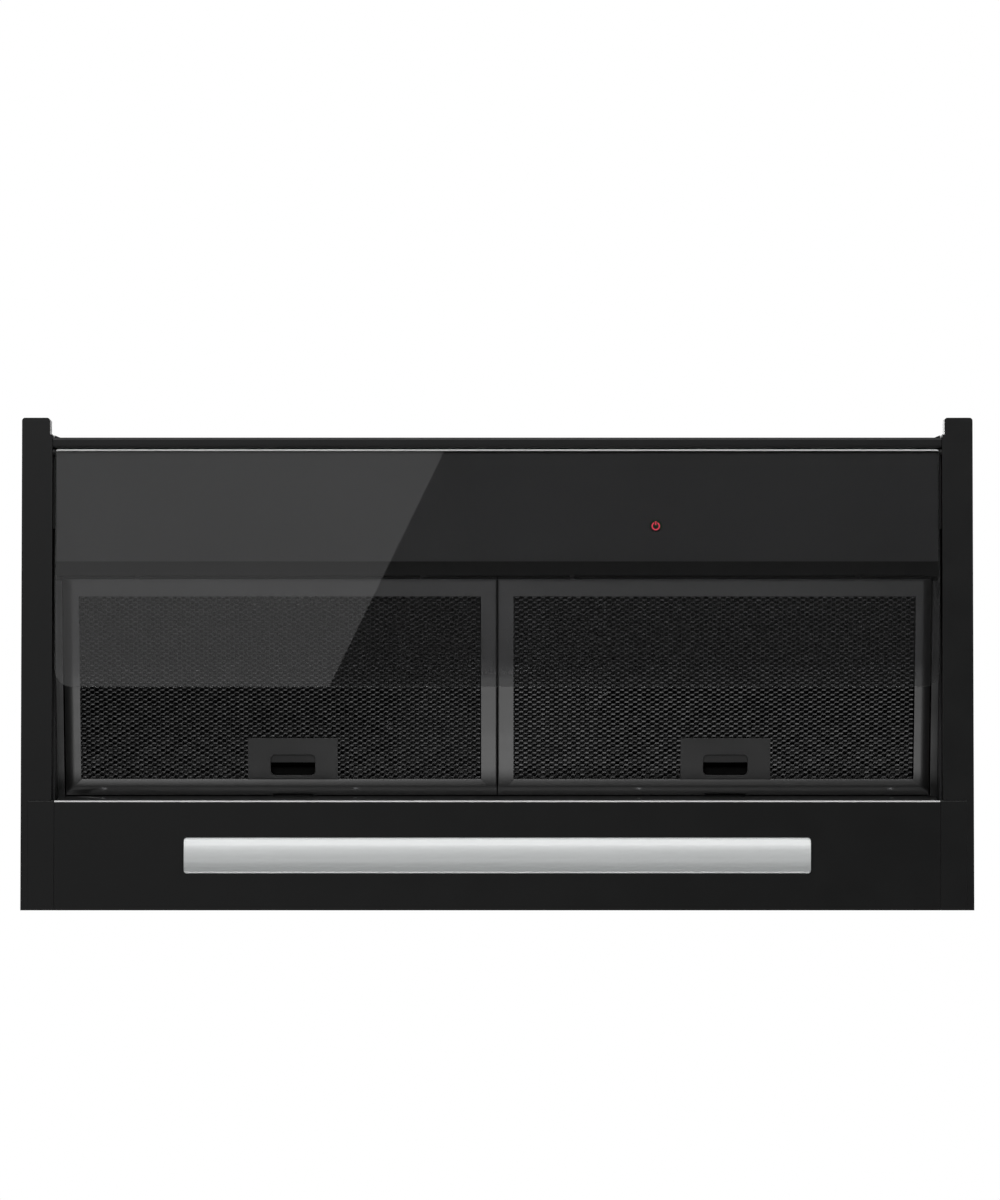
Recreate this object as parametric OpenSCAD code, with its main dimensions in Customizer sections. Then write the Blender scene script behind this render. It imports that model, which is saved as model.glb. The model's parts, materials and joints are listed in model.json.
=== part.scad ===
// Built-in cooker hood with a smoked glass flap, two grease filters and a light bar.
// Frame: +X right, +Y rear, +Z up. z = 0 is the underside of the cabinet that the hood hangs in.

/* [Overall] */
// Width over the side rails
hood_w = 599; // [589:1:609]
// Depth over the side rails
hood_d = 310; // [308:0.5:312]
// Height of the body above the cabinet's underside
body_h = 220; // [218:1:260]
// Drop of the face frame below the cabinet's underside
face_drop = 16; // [15.5:0.5:17]

/* [Face frame] */
// Width of a side rail, which covers the cabinet's side panel
rail_w = 19.2; // [18.5:0.1:19.6]
// Depth of the rear bar, front to back
bar_d = 69; // [68:0.5:69.5]
// Length of the light bar
lamp_l = 393.4; // [300:1:440]
// Width of the light bar
lamp_w = 22; // [18:0.5:26]
// How far the light bar's diffuser bulges below the face
lamp_bulge = 4.5; // [3:0.5:6]

/* [Glass flap] */
// Length of the glass, front to back
glass_l = 150; // [120:1:152]
// Thickness of the glass
glass_t = 4; // [3:0.5:4]
// Slope of the glass, rear edge lower, in degrees
glass_tilt = 1.15; // [0.5:0.05:1.2]
// Length of the opaque print behind the glass
print_l = 70.7; // [60:1:72]

/* [Filters] */
// Slope of the filters, rear edge higher, in degrees
filter_tilt = 13; // [11:0.5:14]
// Thickness of a filter frame
filter_t = 9; // [8:0.5:9]
// Width of a filter frame's long members
member_y = 10.8; // [9:0.2:12]
// Width of a filter frame's short members
member_x = 9.8; // [8:0.2:12]

/* [Fan and duct] */
// Outer diameter of the duct collar
duct_d = 149; // [140:1:150]
// Height of the duct collar above the body
collar_h = 52; // [45:1:80]
// Radius of the impeller
impeller_r = 70; // [60:1:70]
// Width of the impeller
impeller_w = 112; // [90:1:112]
// Number of impeller blades
blades = 36; // [24:1:44]

/* [Hidden] */

$fn = 64;
black = [0.06, 0.06, 0.06];
steel = [0.62, 0.63, 0.65];
grey = [0.3, 0.3, 0.31];
eps = 0.01;

front = -hood_d / 2;
rear = hood_d / 2;
half_w = hood_w / 2;
face_z = -face_drop;
sheet = 1;
trim_top = -1.2;                      // trim pieces stop here, just under the body's flange
trim_t = 1.4;

// Side rails and the opening between them
rail_in = half_w - rail_w;
nose_l = 10.5;
nose_in = rail_in + 1.5;
cover_x = half_w - 4.3;               // inner face of the strip that runs on past the corner block
bar_y = rear - bar_d;
bar_half = rail_in - 1.9;
lamp_y = bar_y + 34.6;

// Front rail
rail_y0 = front + 12.4;
rail_y1 = rail_y0 + 6.6;
rail_z = face_z + 0.6;

// Body
body_x = rail_in - 0.2;
body_y0 = rail_y0 + 0.4;
body_y1 = rear - 1.3;
inner_x = body_x - sheet - 0.1;
fix_x = half_w - 8.5;
fix_y = 100;
side_fix_y = 80;
side_fix_z = 60;
lip = 12;
rivet_r = 1.6;

// Glass flap, with its hinge axis half way through the glass near its front edge
glass_y0 = rail_y1 + 0.7;
glass_z0 = face_z + 1;
glass_half = rail_in - 1.9;
hinge_in = 2;
edge_r = 1.4;                         // rounding of the glass's front lower edge
box_half = glass_half - 1.5;
box_l = 52;
box_t = 7.6;
arm_x0 = glass_half + 0.4;
arm_t = 1.1;
arm_l = 50;
pin_r = 1.5;
fit = 0.05;

// Filters, each hung on a rod near its front edge
nose = 1.5;
filter_y0 = front + 102.35;           // rod axis
filter_z0 = face_z + 9.1;
filter_r = bar_y - filter_y0 - 0.55;
filter_gap = 0.8;
filter_w = rail_in - 6.5 - filter_gap / 2;
filter_cx = filter_gap / 2 + filter_w / 2;
half_t = filter_t / 2;
mesh_t = 2.4;
mesh_z = 1 - half_t;                   // back of the mesh's lower skin, in the filter's own frame
cross_z = filter_z0 - 4.2;
plate_w = 57;
plate_l = 26.6;
plate_x = 7.5;                        // both latches sit this far to the right of their filter's middle
slot_w = 28;
slot_l = 13.4;
slot_y = filter_r - member_y - 2.4 - slot_l;
slider_travel = 5;
hook_x = 90;

// Fan, with its axis across the hood
fan_y = 10;
fan_z = 118;
scroll_w = 130;
scroll_t = 1.6;
scroll_r = impeller_r + 9.5;
scroll_step = 5;
throat_y0 = fan_y + 12;
duct_y = 62;
duct_r = duct_d / 2;
collar_t = 2;
flap_z = body_h + 14;
flap_axis_x = 5;

// ---------- helpers ----------

module both_sides() { children(); mirror([1, 0, 0]) children(); }

module right_or_left(side) { if (side > 0) children(); else mirror([1, 0, 0]) children(); }

module block(x0, x1, y0, y1, z0, z1) translate([x0, y0, z0]) cube([x1 - x0, y1 - y0, z1 - z0]);

module rounded(w, l, r) {
    square([w - 2 * r, l], center = true);
    square([w, l - 2 * r], center = true);
    for (i = [-1, 1], j = [-1, 1]) translate([i * (w / 2 - r), j * (l / 2 - r)]) circle(r);
}

module x_cylinder(x0, x1, r) translate([x0, 0, 0]) rotate([0, 90, 0]) cylinder(r = r, h = x1 - x0);

// Extrudes a profile drawn in (Y, Z) from x0 to x1
module along_x(x0, x1) translate([x0, 0, 0]) rotate([90, 0, 90]) linear_extrude(x1 - x0) children();

// Rectangle in (Y, Z) with its front lower corner rounded, and its rear lower one too if both is true
module soft_2d(y0, y1, z0, z1, r, both = false) {
    translate([y0, z0 + r]) square([y1 - y0, z1 - z0 - r]);
    translate([y0 + r, z0]) square([y1 - y0 - (both ? 2 : 1) * r, z1 - z0]);
    translate([y0 + r, z0 + r]) circle(r);
    if (both) translate([y1 - r, z0 + r]) circle(r);
}

module y_cylinder(y0, y1, r) translate([0, y0, 0]) rotate([-90, 0, 0]) cylinder(r = r, h = y1 - y0);

// Pan-head screw whose head's seat is at z = 0 and whose shank points up
module screw(r = 1.5, l = 6) {
    translate([0, 0, -1.6 * r]) difference() {
        cylinder(r = 1.9 * r, h = 1.6 * r);
        translate([0, 0, -eps]) for (a = [0, 90]) rotate(a) block(-r, r, -0.2 * r, 0.2 * r, 0, 0.8 * r);
    }
    cylinder(r = r - 0.05, h = l);
}

module in_glass() translate([0, glass_y0, glass_z0]) rotate([-glass_tilt, 0, 0]) children();

module in_filter(side) {
    translate([side * filter_cx, filter_y0, filter_z0]) rotate([filter_tilt, 0, 0]) children();
}

// ---------- body and face frame ----------

module top_plate() color(black) difference() {
    block(-body_x, body_x, body_y0, body_y1, body_h - sheet, body_h);
    translate([0, duct_y, body_h - 2]) cylinder(r = duct_r - collar_t, h = 3);
    for (a = [45 : 90 : 315]) translate([0, duct_y, body_h - 2]) rotate(a) translate([duct_r + 7, 0])
        cylinder(r = 1.6, h = 3);
    translate([210, body_y1 - 30, body_h - 2]) cylinder(r = 8, h = 3);
    at_rivets() cylinder(r = rivet_r + fit, h = 8, center = true);
}

module end_sheet(y) color(black) difference() {
    block(-body_x + sheet + fit, body_x - sheet - fit, y, y + sheet, -sheet, body_h - sheet - fit);
    at_rivets() cylinder(r = rivet_r + fit, h = 8, center = true);
}

// Side of the body with the flange under the cabinet, and lips that the other sheets are riveted to
module side_sheet(side) color(black) right_or_left(side) difference() {
    union() {
        block(body_x - sheet, body_x, body_y0, body_y1, -sheet, body_h - sheet - fit);
        block(body_x - eps, half_w - 1.6, body_y0, body_y1, -sheet, 0);
        for (y = [body_y0 + sheet + fit, body_y1 - 2 * sheet - fit])
            block(body_x - lip, body_x - eps, y, y + sheet, 1, body_h - sheet - fit);
        block(body_x - lip, body_x - eps, body_y0 + sheet + fit, body_y1 - sheet - fit,
            body_h - 2 * sheet - fit, body_h - sheet - fit);
    }
    for (y = [-fix_y, fix_y]) translate([fix_x, y, -2]) cylinder(r = 2.5, h = 3);
    for (y = [-side_fix_y, side_fix_y]) translate([body_x - 2, y, side_fix_z]) rotate([0, 90, 0])
        cylinder(r = 2.5, h = 3);
    at_rivets() cylinder(r = rivet_r + fit, h = 8, center = true);
}

// Places its child at each rivet, with +Z out of the body and z = 0 on its outer face
module at_rivets() both_sides() {
    for (y = [-120, -40, 40, 120]) translate([body_x - 7, y, body_h]) children();
    for (z = [25, 80, 140, 195]) {
        translate([body_x - 7, body_y0, z]) rotate([90, 0, 0]) children();
        translate([body_x - 7, body_y1, z]) rotate([-90, 0, 0]) children();
    }
}

module sheet_rivets() color(steel) at_rivets() {
    translate([0, 0, 0.02]) cylinder(r1 = 2.8, r2 = 1.7, h = 0.8);
    translate([0, 0, -2.6]) cylinder(r = rivet_r, h = 2.7);
}

module side_rail(side) color(black) right_or_left(side) difference() {
    union() {
        translate([nose_in, front, face_z]) rail_nose(half_w - nose_in, nose_l + 1, trim_top - face_z);
        block(rail_in, half_w, front + nose_l, bar_y - 0.2, face_z, trim_top);
        block(cover_x, half_w, bar_y - 1, rear, face_z, trim_top);
    }
    block(nose_in + trim_t, half_w - trim_t, front + trim_t + 0.6, front + nose_l + 1, face_z + trim_t, 1);
    block(rail_in + trim_t, half_w - trim_t, front + nose_l + trim_t, bar_y - 1.6, face_z + trim_t, 1);
    block(cover_x + trim_t, half_w - trim_t, bar_y - 4, rear - trim_t, face_z + trim_t, 1);
    translate([rail_in - 1, 0, 0]) at_hinge() x_cylinder(0, 3, pin_r + fit);
    translate([rail_in - 1, front + 70, glass_z0 + 9.5]) x_cylinder(0, 3, 1.25);
}

// End of a side rail with its two front corners rounded
module rail_nose(w, l, h) {
    r = 2;
    linear_extrude(h) {
        translate([r, 0]) square([w - 2 * r, l]);
        translate([0, r]) square([w, l - r]);
        for (x = [r, w - r]) translate([x, r]) circle(r);
    }
}

module at_hinge() in_glass() translate([0, hinge_in, glass_t / 2]) children();

module corner_block(side) color(black) right_or_left(side) difference() {
    along_x(bar_half + 0.15, cover_x - 0.04) soft_2d(bar_y, rear, face_z, trim_top, 0.7);
    block(bar_half + 0.15 + trim_t, cover_x - 0.04 - trim_t, bar_y + trim_t, rear - trim_t,
        face_z + trim_t, 1);
}

module rear_bar() color(black) difference() {
    along_x(-bar_half, bar_half) soft_2d(bar_y, rear, face_z, trim_top, 1.5);
    block(-bar_half + 1.2, bar_half - 1.2, bar_y + 1.2, rear - 1.2, face_z + 1.2, 1);
    translate([0, lamp_y, face_z - 1]) linear_extrude(4) rounded(lamp_l + 0.7, lamp_w + 0.7, 2);
}

module front_rail() color(black) difference() {
    along_x(-rail_in + 0.2, rail_in - 0.2) soft_2d(rail_y0, rail_y1, rail_z, trim_top, 1.6, true);
    block(-rail_in + 1.6, rail_in - 1.6, rail_y0 + 1.4, rail_y1 - 1.4, rail_z + 1.4, 1);
}

module gussets() color(black) both_sides() translate([0, 0, -4]) linear_extrude(2.6)
    polygon([[rail_in - 0.3, rail_y0 - 2.2], [rail_in - 0.3, rail_y0 - eps], [rail_in - 5.6, rail_y0 - eps]]);

// Sloping frame that the filters sit in: side strips, front cross bar, rear wall and hooks
module filter_carrier() color(black) difference() {
    union() {
        both_sides() {
            in_filter(0) {
                block(filter_cx + filter_w / 2 + 0.8, inner_x, -0.8, filter_r + 0.3, -half_t, 1.5 - half_t);
                block(inner_x - 1.5, inner_x, -0.8, filter_r + 2, -half_t, 12);
            }
            block(inner_x - 1.5, inner_x, filter_y0 - 20, filter_y0 + 12, cross_z, 12);
        }
        block(-inner_x, inner_x, filter_y0 - 20, filter_y0 - 3.2, cross_z, cross_z + 1.5);
        block(-inner_x, inner_x, filter_y0 - 4.7, filter_y0 - 3.2, cross_z, 12);
        block(-inner_x, inner_x, filter_y0 - 20, filter_y0 - 18.5, cross_z, 12);
        at_rear_wall() block(-inner_x + 0.7, inner_x - 0.7, 0, 1.5, -12, 20);
        for (side = [-1, 1], x = [-hook_x, hook_x])
            translate([side * filter_cx + x, filter_y0, filter_z0]) hook();
    }
    for (side = [-1, 1], x = [-hook_x, hook_x]) translate([side * filter_cx + x, filter_y0, filter_z0])
        x_cylinder(-3, 3, pin_r + fit);
    for (side = [-1, 1]) translate([side * filter_cx + plate_x, 0, 0])
        block(-13, 13, bar_y - 6, bar_y + 3, 21, 30);
    at_rear_wall() for (x = [-250, -90, 90, 250]) translate([x, 0, 2]) y_cylinder(-1, 4, 1.6);
}

// Plane that leans forward just outside the circle that the filters' rear edges sweep
module at_rear_wall() translate([0, bar_y - 1.5, 13]) rotate([8.3, 0, 0]) children();

module hook() {
    x_cylinder(-1.5, 1.5, 2.7);
    block(-1.5, 1.5, -4, -1.5, -1.5, 1.5);
}

module carrier_screws() color(steel) at_rear_wall() for (x = [-250, -90, 90, 250])
    translate([x, 1.55, 2]) rotate([90, 0, 0]) screw(1.5, 1.6);

// ---------- light bar ----------

module lamp_tray() color(steel) difference() {
    translate([0, 0, face_z + 1.25]) {
        block(-lamp_l / 2 - 7, lamp_l / 2 + 7, lamp_y - lamp_w / 2 - 6, lamp_y + lamp_w / 2 + 6, 3.4, 12.6);
    }
    block(-lamp_l / 2 - 6, lamp_l / 2 + 6, lamp_y - lamp_w / 2 - 5, lamp_y + lamp_w / 2 + 5,
        face_z, face_z + 12.9);
    for (x = [-180, 180]) translate([x, lamp_y + 12, face_z]) cylinder(r = 1.6, h = 20);
}

// Bulging opal cover: a slice of a tube in the opening, on a flange inside the bar
module lamp_diffuser() color([0.95, 0.96, 0.96]) {
    sag_r = (pow(lamp_w / 2, 2) + pow(lamp_bulge, 2)) / (2 * lamp_bulge);
    intersection() {
        translate([0, lamp_y, face_z - lamp_bulge - 1]) linear_extrude(lamp_bulge + 2.3)
            rounded(lamp_l, lamp_w, 1.8);
        translate([0, lamp_y, face_z - lamp_bulge + sag_r]) difference() {
            x_cylinder(-lamp_l, lamp_l, sag_r);
            x_cylinder(-lamp_l - 1, lamp_l + 1, sag_r - 1.8);
        }
    }
    translate([0, lamp_y, face_z + 1.25]) linear_extrude(3.1) difference() {
        rounded(lamp_l + 8, lamp_w + 8, 2);
        rounded(lamp_l - 5, lamp_w - 5, 2);
    }
}

module led_board() color([0.9, 0.9, 0.88])
    block(-lamp_l / 2 + 4, lamp_l / 2 - 4, lamp_y - 6, lamp_y + 6, face_z + 11.3, face_z + 12.9 - 0.05);

module led_chips() color([1, 0.95, 0.7]) for (i = [-11 : 11])
    translate([i * (lamp_l - 20) / 23, lamp_y, face_z + 10.55]) cube([2.8, 3.5, 1.5], center = true);

module lamp_driver() color(grey) {
    block(-200, -100, body_y1 - sheet - 26, body_y1 - sheet - 0.05, 8, 30);
    for (x = [-208, -100 - eps]) block(x, x + 8 + eps, body_y1 - sheet - 2.5, body_y1 - sheet - 0.05, 8, 30);
}

module lamp_screws() color(steel) for (x = [-180, 180])
    translate([x, lamp_y + 12, face_z + 13.85 + 0.05]) mirror([0, 0, 1]) screw(1.5, 7);

// ---------- glass flap ----------

module hinge_pins() color(steel) both_sides() at_hinge() x_cylinder(arm_x0 - 0.3, rail_in + 1.3, pin_r);

module catch_studs() color(black) both_sides() translate([0, front + 70, glass_z0 + 9.5])
    x_cylinder(rail_in - 0.25, rail_in + 1.3, 1.2);

module glass_panel() color([0.1, 0.1, 0.1, 0.5]) in_glass() difference() {
    linear_extrude(glass_t) {
        translate([0, glass_l / 2]) intersection() {
            rounded(2 * glass_half, glass_l, 10.5);
            translate([-glass_half, 0]) square([2 * glass_half, glass_l]);
        }
        translate([0, glass_l / 2]) intersection() {
            rounded(2 * glass_half, glass_l, 2);
            translate([-glass_half, -glass_l]) square([2 * glass_half, glass_l + eps]);
        }
    }
    along_x(-hood_w, hood_w) difference() {
        translate([-1, -1]) square(1 + edge_r);
        translate([edge_r, edge_r]) circle(edge_r);
    }
}

module glass_print() color(black) in_glass() difference() {
    block(-glass_half + 0.5, glass_half - 0.5, 2.2, print_l, glass_t + 0.02, glass_t + 0.3);
    translate([99.9, 48.4, glass_t - 1]) cylinder(r = 4, h = 3);
}

// Broken ring with a stroke, lit from behind through a window in the print
module power_symbol() color([0.9, 0.1, 0.1])
in_glass() translate([99.9, 48.4, glass_t + 0.02]) linear_extrude(0.25) {
    difference() {
        circle(2.6);
        circle(1.9);
        translate([-1, -3.2]) square([2, 3]);
    }
    translate([-0.35, -3.1]) square([0.7, 2.4]);
}

module control_box() color(black) in_glass() difference() {
    block(-box_half, box_half, 4, box_l, glass_t + 0.35, glass_t + box_t);
    block(-box_half + 1.5, box_half - 1.5, 5.5, box_l - 1.5, glass_t, glass_t + box_t - 1.5);
    both_sides() for (y = [16, 40]) translate([box_half - 6, y, glass_t + 3]) cylinder(r = 1.3, h = 8);
}

module control_board() color([0.1, 0.35, 0.2]) in_glass() {
    block(60, 140, 30, 50, glass_t + 1.6, glass_t + 3.2);
    block(74, 84, 33, 41, glass_t + 3.2 - eps, glass_t + 4.8);
    translate([99.9, 46, glass_t + 0.6]) cylinder(r = 3, h = 1.1);
}

// Side arms of the flap, each a plate with its hinge eye and a flange on top of the control box
module hinge_arms() color(black) both_sides() in_glass() difference() {
    union() {
        block(arm_x0, arm_x0 + arm_t, -0.3, arm_l, 3.4, glass_t + box_t + 1.3);
        translate([0, hinge_in, glass_t / 2]) x_cylinder(arm_x0, arm_x0 + arm_t, 2.3);
        block(box_half - 14, arm_x0 + arm_t, 8, arm_l, glass_t + box_t + 0.05, glass_t + box_t + 1.3);
    }
    translate([0, hinge_in, glass_t / 2]) x_cylinder(arm_x0 - 1, arm_x0 + 3, pin_r + fit);
    for (y = [16, 40]) translate([box_half - 6, y, glass_t + 3]) cylinder(r = 1.6, h = 12);
}

module arm_screws() color(steel) both_sides() in_glass() for (y = [16, 40])
    translate([box_half - 6, y, glass_t + box_t + 1.3]) mirror([0, 0, 1]) screw(1.3, 5);

// ---------- filters ----------

module filter_frame(side) color(grey) in_filter(side) difference() {
    translate([0, (filter_r - nose) / 2, -half_t]) linear_extrude(filter_t)
        rounded(filter_w, filter_r + nose, 1.2);
    block(-filter_w / 2 + member_x, filter_w / 2 - member_x, member_y - nose, filter_r - member_y, -5, 5);
    block(-filter_w / 2 + 2, filter_w / 2 - 2, 5, filter_r - 4, mesh_z - 0.1, mesh_z + mesh_t + 0.1);
    x_cylinder(-filter_w / 2 + 4, filter_w / 2 - 4, pin_r + 0.02);
    for (x = [-hook_x, hook_x]) block(x - 2.5, x + 2.5, -3, 3.6, -3, 6);
    translate([plate_x, 0, 0]) block(-11, 11, filter_r - member_y - 1, filter_r + 1, 0.3, 3.4);
}

module filter_mesh(side) color([0.4, 0.4, 0.41]) in_filter(side) difference() {
    block(-filter_w / 2 + 2.2, filter_w / 2 - 2.2, 5.2, filter_r - 4.2, mesh_z, mesh_z + mesh_t);
    translate([plate_x, 0, 0])
        block(-plate_w / 2 + 0.8, plate_w / 2 - 0.8, filter_r - member_y - plate_l + 0.8, filter_r, -6, 6);
}

// Pressed plate over the mesh with a finger slot, and a closed pocket behind it
module latch_plate(side) color(grey)
in_filter(side) translate([plate_x, filter_r - member_y, 0]) difference() {
    union() {
        block(-plate_w / 2, plate_w / 2, -plate_l, -0.05, 0.2 - half_t, 0.95 - half_t);
        block(-plate_w / 2 + 2, plate_w / 2 - 2, -plate_l + 2, -0.05, 0.9 - half_t, half_t + 1);
    }
    block(-plate_w / 2 + 3.2, plate_w / 2 - 3.2, -plate_l + 2.8, 1, 0.95 - half_t, half_t);
    translate([0, -2.4 - slot_l / 2, -half_t - 1]) linear_extrude(3) rounded(slot_w, slot_l, 3);
}

// Sprung slider: a finger tab seen in the slot, and a tongue through the frame's rear member
module latch_slider(side) color(grey) in_filter(side) translate([plate_x, filter_r - member_y, 0]) {
    block(-20, 20, -16.4, -2.4 - slot_l + 5.1, 1.15 - half_t, 2.35 - half_t);
    block(-20, 20, -16.4, -15, 2.3 - half_t, 3.2);
    block(-20, -15, -16.4, -1, 0.7, 3.2);
    block(15, 20, -16.4, -1, 0.7, 3.2);
    block(-20, 20, -6.4, -1, 0.7, 3.2);
    block(-10, 10, -1.5, member_y, 0.7, 3.0);
}

module latch_spring(side) color(steel) in_filter(side)
    translate([plate_x, filter_r - member_y - plate_l + 2.85, 1.5]) for (x = [-8, 8]) translate([x, 0, 0])
        rotate([-90, 0, 0]) difference() {
            cylinder(r = 1.5, h = 7.3);
            translate([0, 0, -1]) cylinder(r = 1, h = 10);
        }

module filter_rod(side) color(steel) in_filter(side)
    x_cylinder(-filter_w / 2 + 4.5, filter_w / 2 - 4.5, pin_r);

// ---------- fan ----------

// Scroll outline made of four arcs that widen by one step each quarter turn, and the throat that leads
// straight up from the widest one; the narrowest arc runs on to the throat's inner wall
module scroll_profile(grow) {
    s = scroll_step / 2;
    throat = throat_y0 - fan_y;
    for (q = [0 : 3]) {
        c = [[-s, -s], [s, -s], [s, s], [-s, s]][q];
        r = scroll_r + q * scroll_step + grow;
        intersection() {
            translate(c) circle(r);
            translate(c) rotate(90 + 90 * q) square(r + 1);
            translate([q == 3 ? throat - grow : -150, -150]) square(300);
        }
    }
    intersection() {
        translate([-s, -s]) circle(scroll_r + grow);
        translate([-s - 1, -s]) square([throat + s + 1, scroll_r + 10]);
    }
    translate([throat - grow, 0])
        square([duct_y * 2 - throat_y0 - throat_y0 + 2 * grow, body_h - sheet - 0.1 - fan_z]);
}

// Places a profile drawn in (Y, Z) around the fan's axis, extruded along X
module fan_extrude(w) translate([-w / 2, fan_y, fan_z]) rotate([90, 0, 90]) linear_extrude(w) children();

// Curved wall of the housing, open at the top where it blows into the duct
module scroll_band() color(grey) difference() {
    fan_extrude(scroll_w - 2 * scroll_t - 0.1) scroll_profile(scroll_t);
    fan_extrude(scroll_w) scroll_profile(0);
}

// End plate of the housing with the inlet, and the flange that hangs it from the top plate
module scroll_cheek(side) color(grey) right_or_left(side) difference() {
    union() {
        translate([scroll_w / 2 - scroll_t, fan_y, fan_z]) rotate([90, 0, 90]) linear_extrude(scroll_t)
            scroll_profile(scroll_t);
        block(scroll_w / 2 - eps, scroll_w / 2 + 14, throat_y0, duct_y * 2 - throat_y0,
            body_h - 4.1, body_h - 1.1);
    }
    translate([0, fan_y, fan_z]) x_cylinder(0, scroll_w, impeller_r - 10);
    if (side > 0) for (a = [90, 210, 330]) translate([scroll_w / 2 - 2, fan_y, fan_z]) rotate([a, 0, 0])
        translate([0, impeller_r - 3, 0]) x_cylinder(0, 4, 2.2);
    for (y = [-28, 28]) translate([scroll_w / 2 + 8, duct_y + y, body_h - 6]) cylinder(r = 1.6, h = 6);
}

module fan_screws() color(steel) both_sides() for (y = [-28, 28])
    translate([scroll_w / 2 + 8, duct_y + y, body_h - 4.15]) screw(1.5, 3);

module motor() color(steel) translate([0, fan_y, fan_z]) {
    x_cylinder(-12, scroll_w / 2 + 3, 41);
    x_cylinder(-16, -12 + eps, 12);
    x_cylinder(scroll_w / 2 + 3 - eps, scroll_w / 2 + 7, 30);
}

module motor_bracket() color(steel) translate([0, fan_y, fan_z]) difference() {
    union() {
        x_cylinder(scroll_w / 2 + 3.05, scroll_w / 2 + 5, 48);
        for (a = [90, 210, 330]) rotate([a, 0, 0])
            block(scroll_w / 2 + 3.05, scroll_w / 2 + 5, 36, impeller_r + 4, -7, 7);
    }
    x_cylinder(scroll_w / 2, scroll_w / 2 + 8, 30.4);
    for (a = [90, 210, 330]) rotate([a, 0, 0]) translate([0, impeller_r - 3, 0])
        x_cylinder(scroll_w / 2, scroll_w / 2 + 8, 2.2);
}

module rubber_mounts() color(black) for (a = [90, 210, 330]) translate([0, fan_y, fan_z]) rotate([a, 0, 0])
    translate([0, impeller_r - 3, 0]) {
        x_cylinder(scroll_w / 2 - 1.9, scroll_w / 2 + 5.5, 2.15);
        x_cylinder(scroll_w / 2 + 0.05, scroll_w / 2 + 3, 5);
        x_cylinder(scroll_w / 2 + 5.05, scroll_w / 2 + 7.5, 5);
    }

// Double-inlet wheel: a dished centre disc, blades and two end rings
module impeller() color(grey) translate([0, fan_y, fan_z]) difference() {
    union() {
        x_cylinder(-20.5, -18.5, impeller_r - 2);
        x_cylinder(-30, -18.5, 9);
        for (x = [-impeller_w / 2, impeller_w / 2 - 2]) difference() {
            x_cylinder(x, x + 2, impeller_r);
            x_cylinder(x - 1, x + 3, impeller_r - 11.5);
        }
        for (i = [0 : blades - 1]) rotate([i * 360 / blades, 0, 0]) translate([0, impeller_r - 6, 0])
            rotate([-35, 0, 0]) block(-impeller_w / 2 + 1, impeller_w / 2 - 1, -5.6, 5.6, -0.5, 0.5);
    }
    x_cylinder(-31, -10, 3.95);
}

module motor_shaft() color(steel) translate([0, fan_y, fan_z]) x_cylinder(-34, -16.3, 3.95);

// ---------- electrics ----------

module capacitor() color(grey) translate([-170, -60, body_h - sheet - 18]) {
    x_cylinder(0, 58, 15);
    x_cylinder(-4, eps, 4);
    block(20, 36, -4, 4, 14, 17.95);
}

module electronics_box() color(black) difference() {
    block(-250, -110, 20, 90, body_h - sheet - 38, body_h - sheet - 0.05);
    for (i = [0 : 5]) block(-240 + i * 22, -228 + i * 22, 88.5, 91, body_h - sheet - 30, body_h - sheet - 10);
}

module terminal_box() color(black) {
    block(160, 250, body_y1 - sheet - 52, body_y1 - sheet - 0.05, body_h - sheet - 46, body_h - sheet - 9);
    for (x = [150, 250 - eps]) block(x, x + 10 + eps, body_y1 - sheet - 2.5, body_y1 - sheet - 0.05,
        body_h - sheet - 46, body_h - sheet - 9);
}

// Gland in the top plate with a hexagonal head and the bore that the mains cable passes through
module cable_gland() color(black) translate([210, body_y1 - 30, body_h]) difference() {
    union() {
        translate([0, 0, -7]) cylinder(r = 7.7, h = 7.1);
        translate([0, 0, 0.05]) cylinder(r = 11, h = 6, $fn = 6);
        translate([0, 0, 6]) cylinder(r = 8, h = 8);
        translate([0, 0, -5]) cylinder(r = 11, h = 3.9, $fn = 6);
    }
    translate([0, 0, -8]) cylinder(r = 4, h = 24);
}

// ---------- duct collar ----------

module duct_collar() color(black) translate([0, duct_y, body_h]) difference() {
    union() {
        translate([0, 0, 0.05]) cylinder(r = duct_r + 14, h = 2.5);
        translate([0, 0, 0.05]) cylinder(r = duct_r, h = collar_h);
    }
    difference() {
        translate([0, 0, -1]) cylinder(r = duct_r - collar_t, h = collar_h + 3);
        block(-3, 3, -duct_r, duct_r, flap_z - body_h - 6, flap_z - body_h + 1.5);
        translate([0, 0, flap_z - body_h - 5]) difference() {
            cylinder(r = duct_r - 1, h = 3.2);
            translate([0, 0, -1]) cylinder(r = duct_r - collar_t - 3, h = 6);
        }
    }
    for (a = [45 : 90 : 315]) rotate(a) translate([duct_r + 7, 0, -1]) cylinder(r = 1.6, h = 5);
    for (x = [-flap_axis_x, flap_axis_x]) translate([x, 0, flap_z - body_h])
        y_cylinder(-duct_r - 1, duct_r + 1, pin_r + fit);
}

module collar_screws() color(steel) for (a = [45 : 90 : 315])
    translate([0, duct_y, body_h + 2.6]) rotate(a) translate([duct_r + 7, 0]) mirror([0, 0, 1]) screw(1.5, 5);

// Half disc moulded on its own pivot rod
module damper(side) color(grey) translate([0, duct_y, flap_z]) right_or_left(side) {
    difference() {
        translate([0, 0, -pin_r]) cylinder(r = duct_r - collar_t - 1, h = 1.2);
        block(-duct_r, flap_axis_x, -duct_r, duct_r, -3, 3);
    }
    translate([flap_axis_x, 0, 0]) y_cylinder(-duct_r + 0.8, duct_r - 0.8, pin_r);
}

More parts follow.
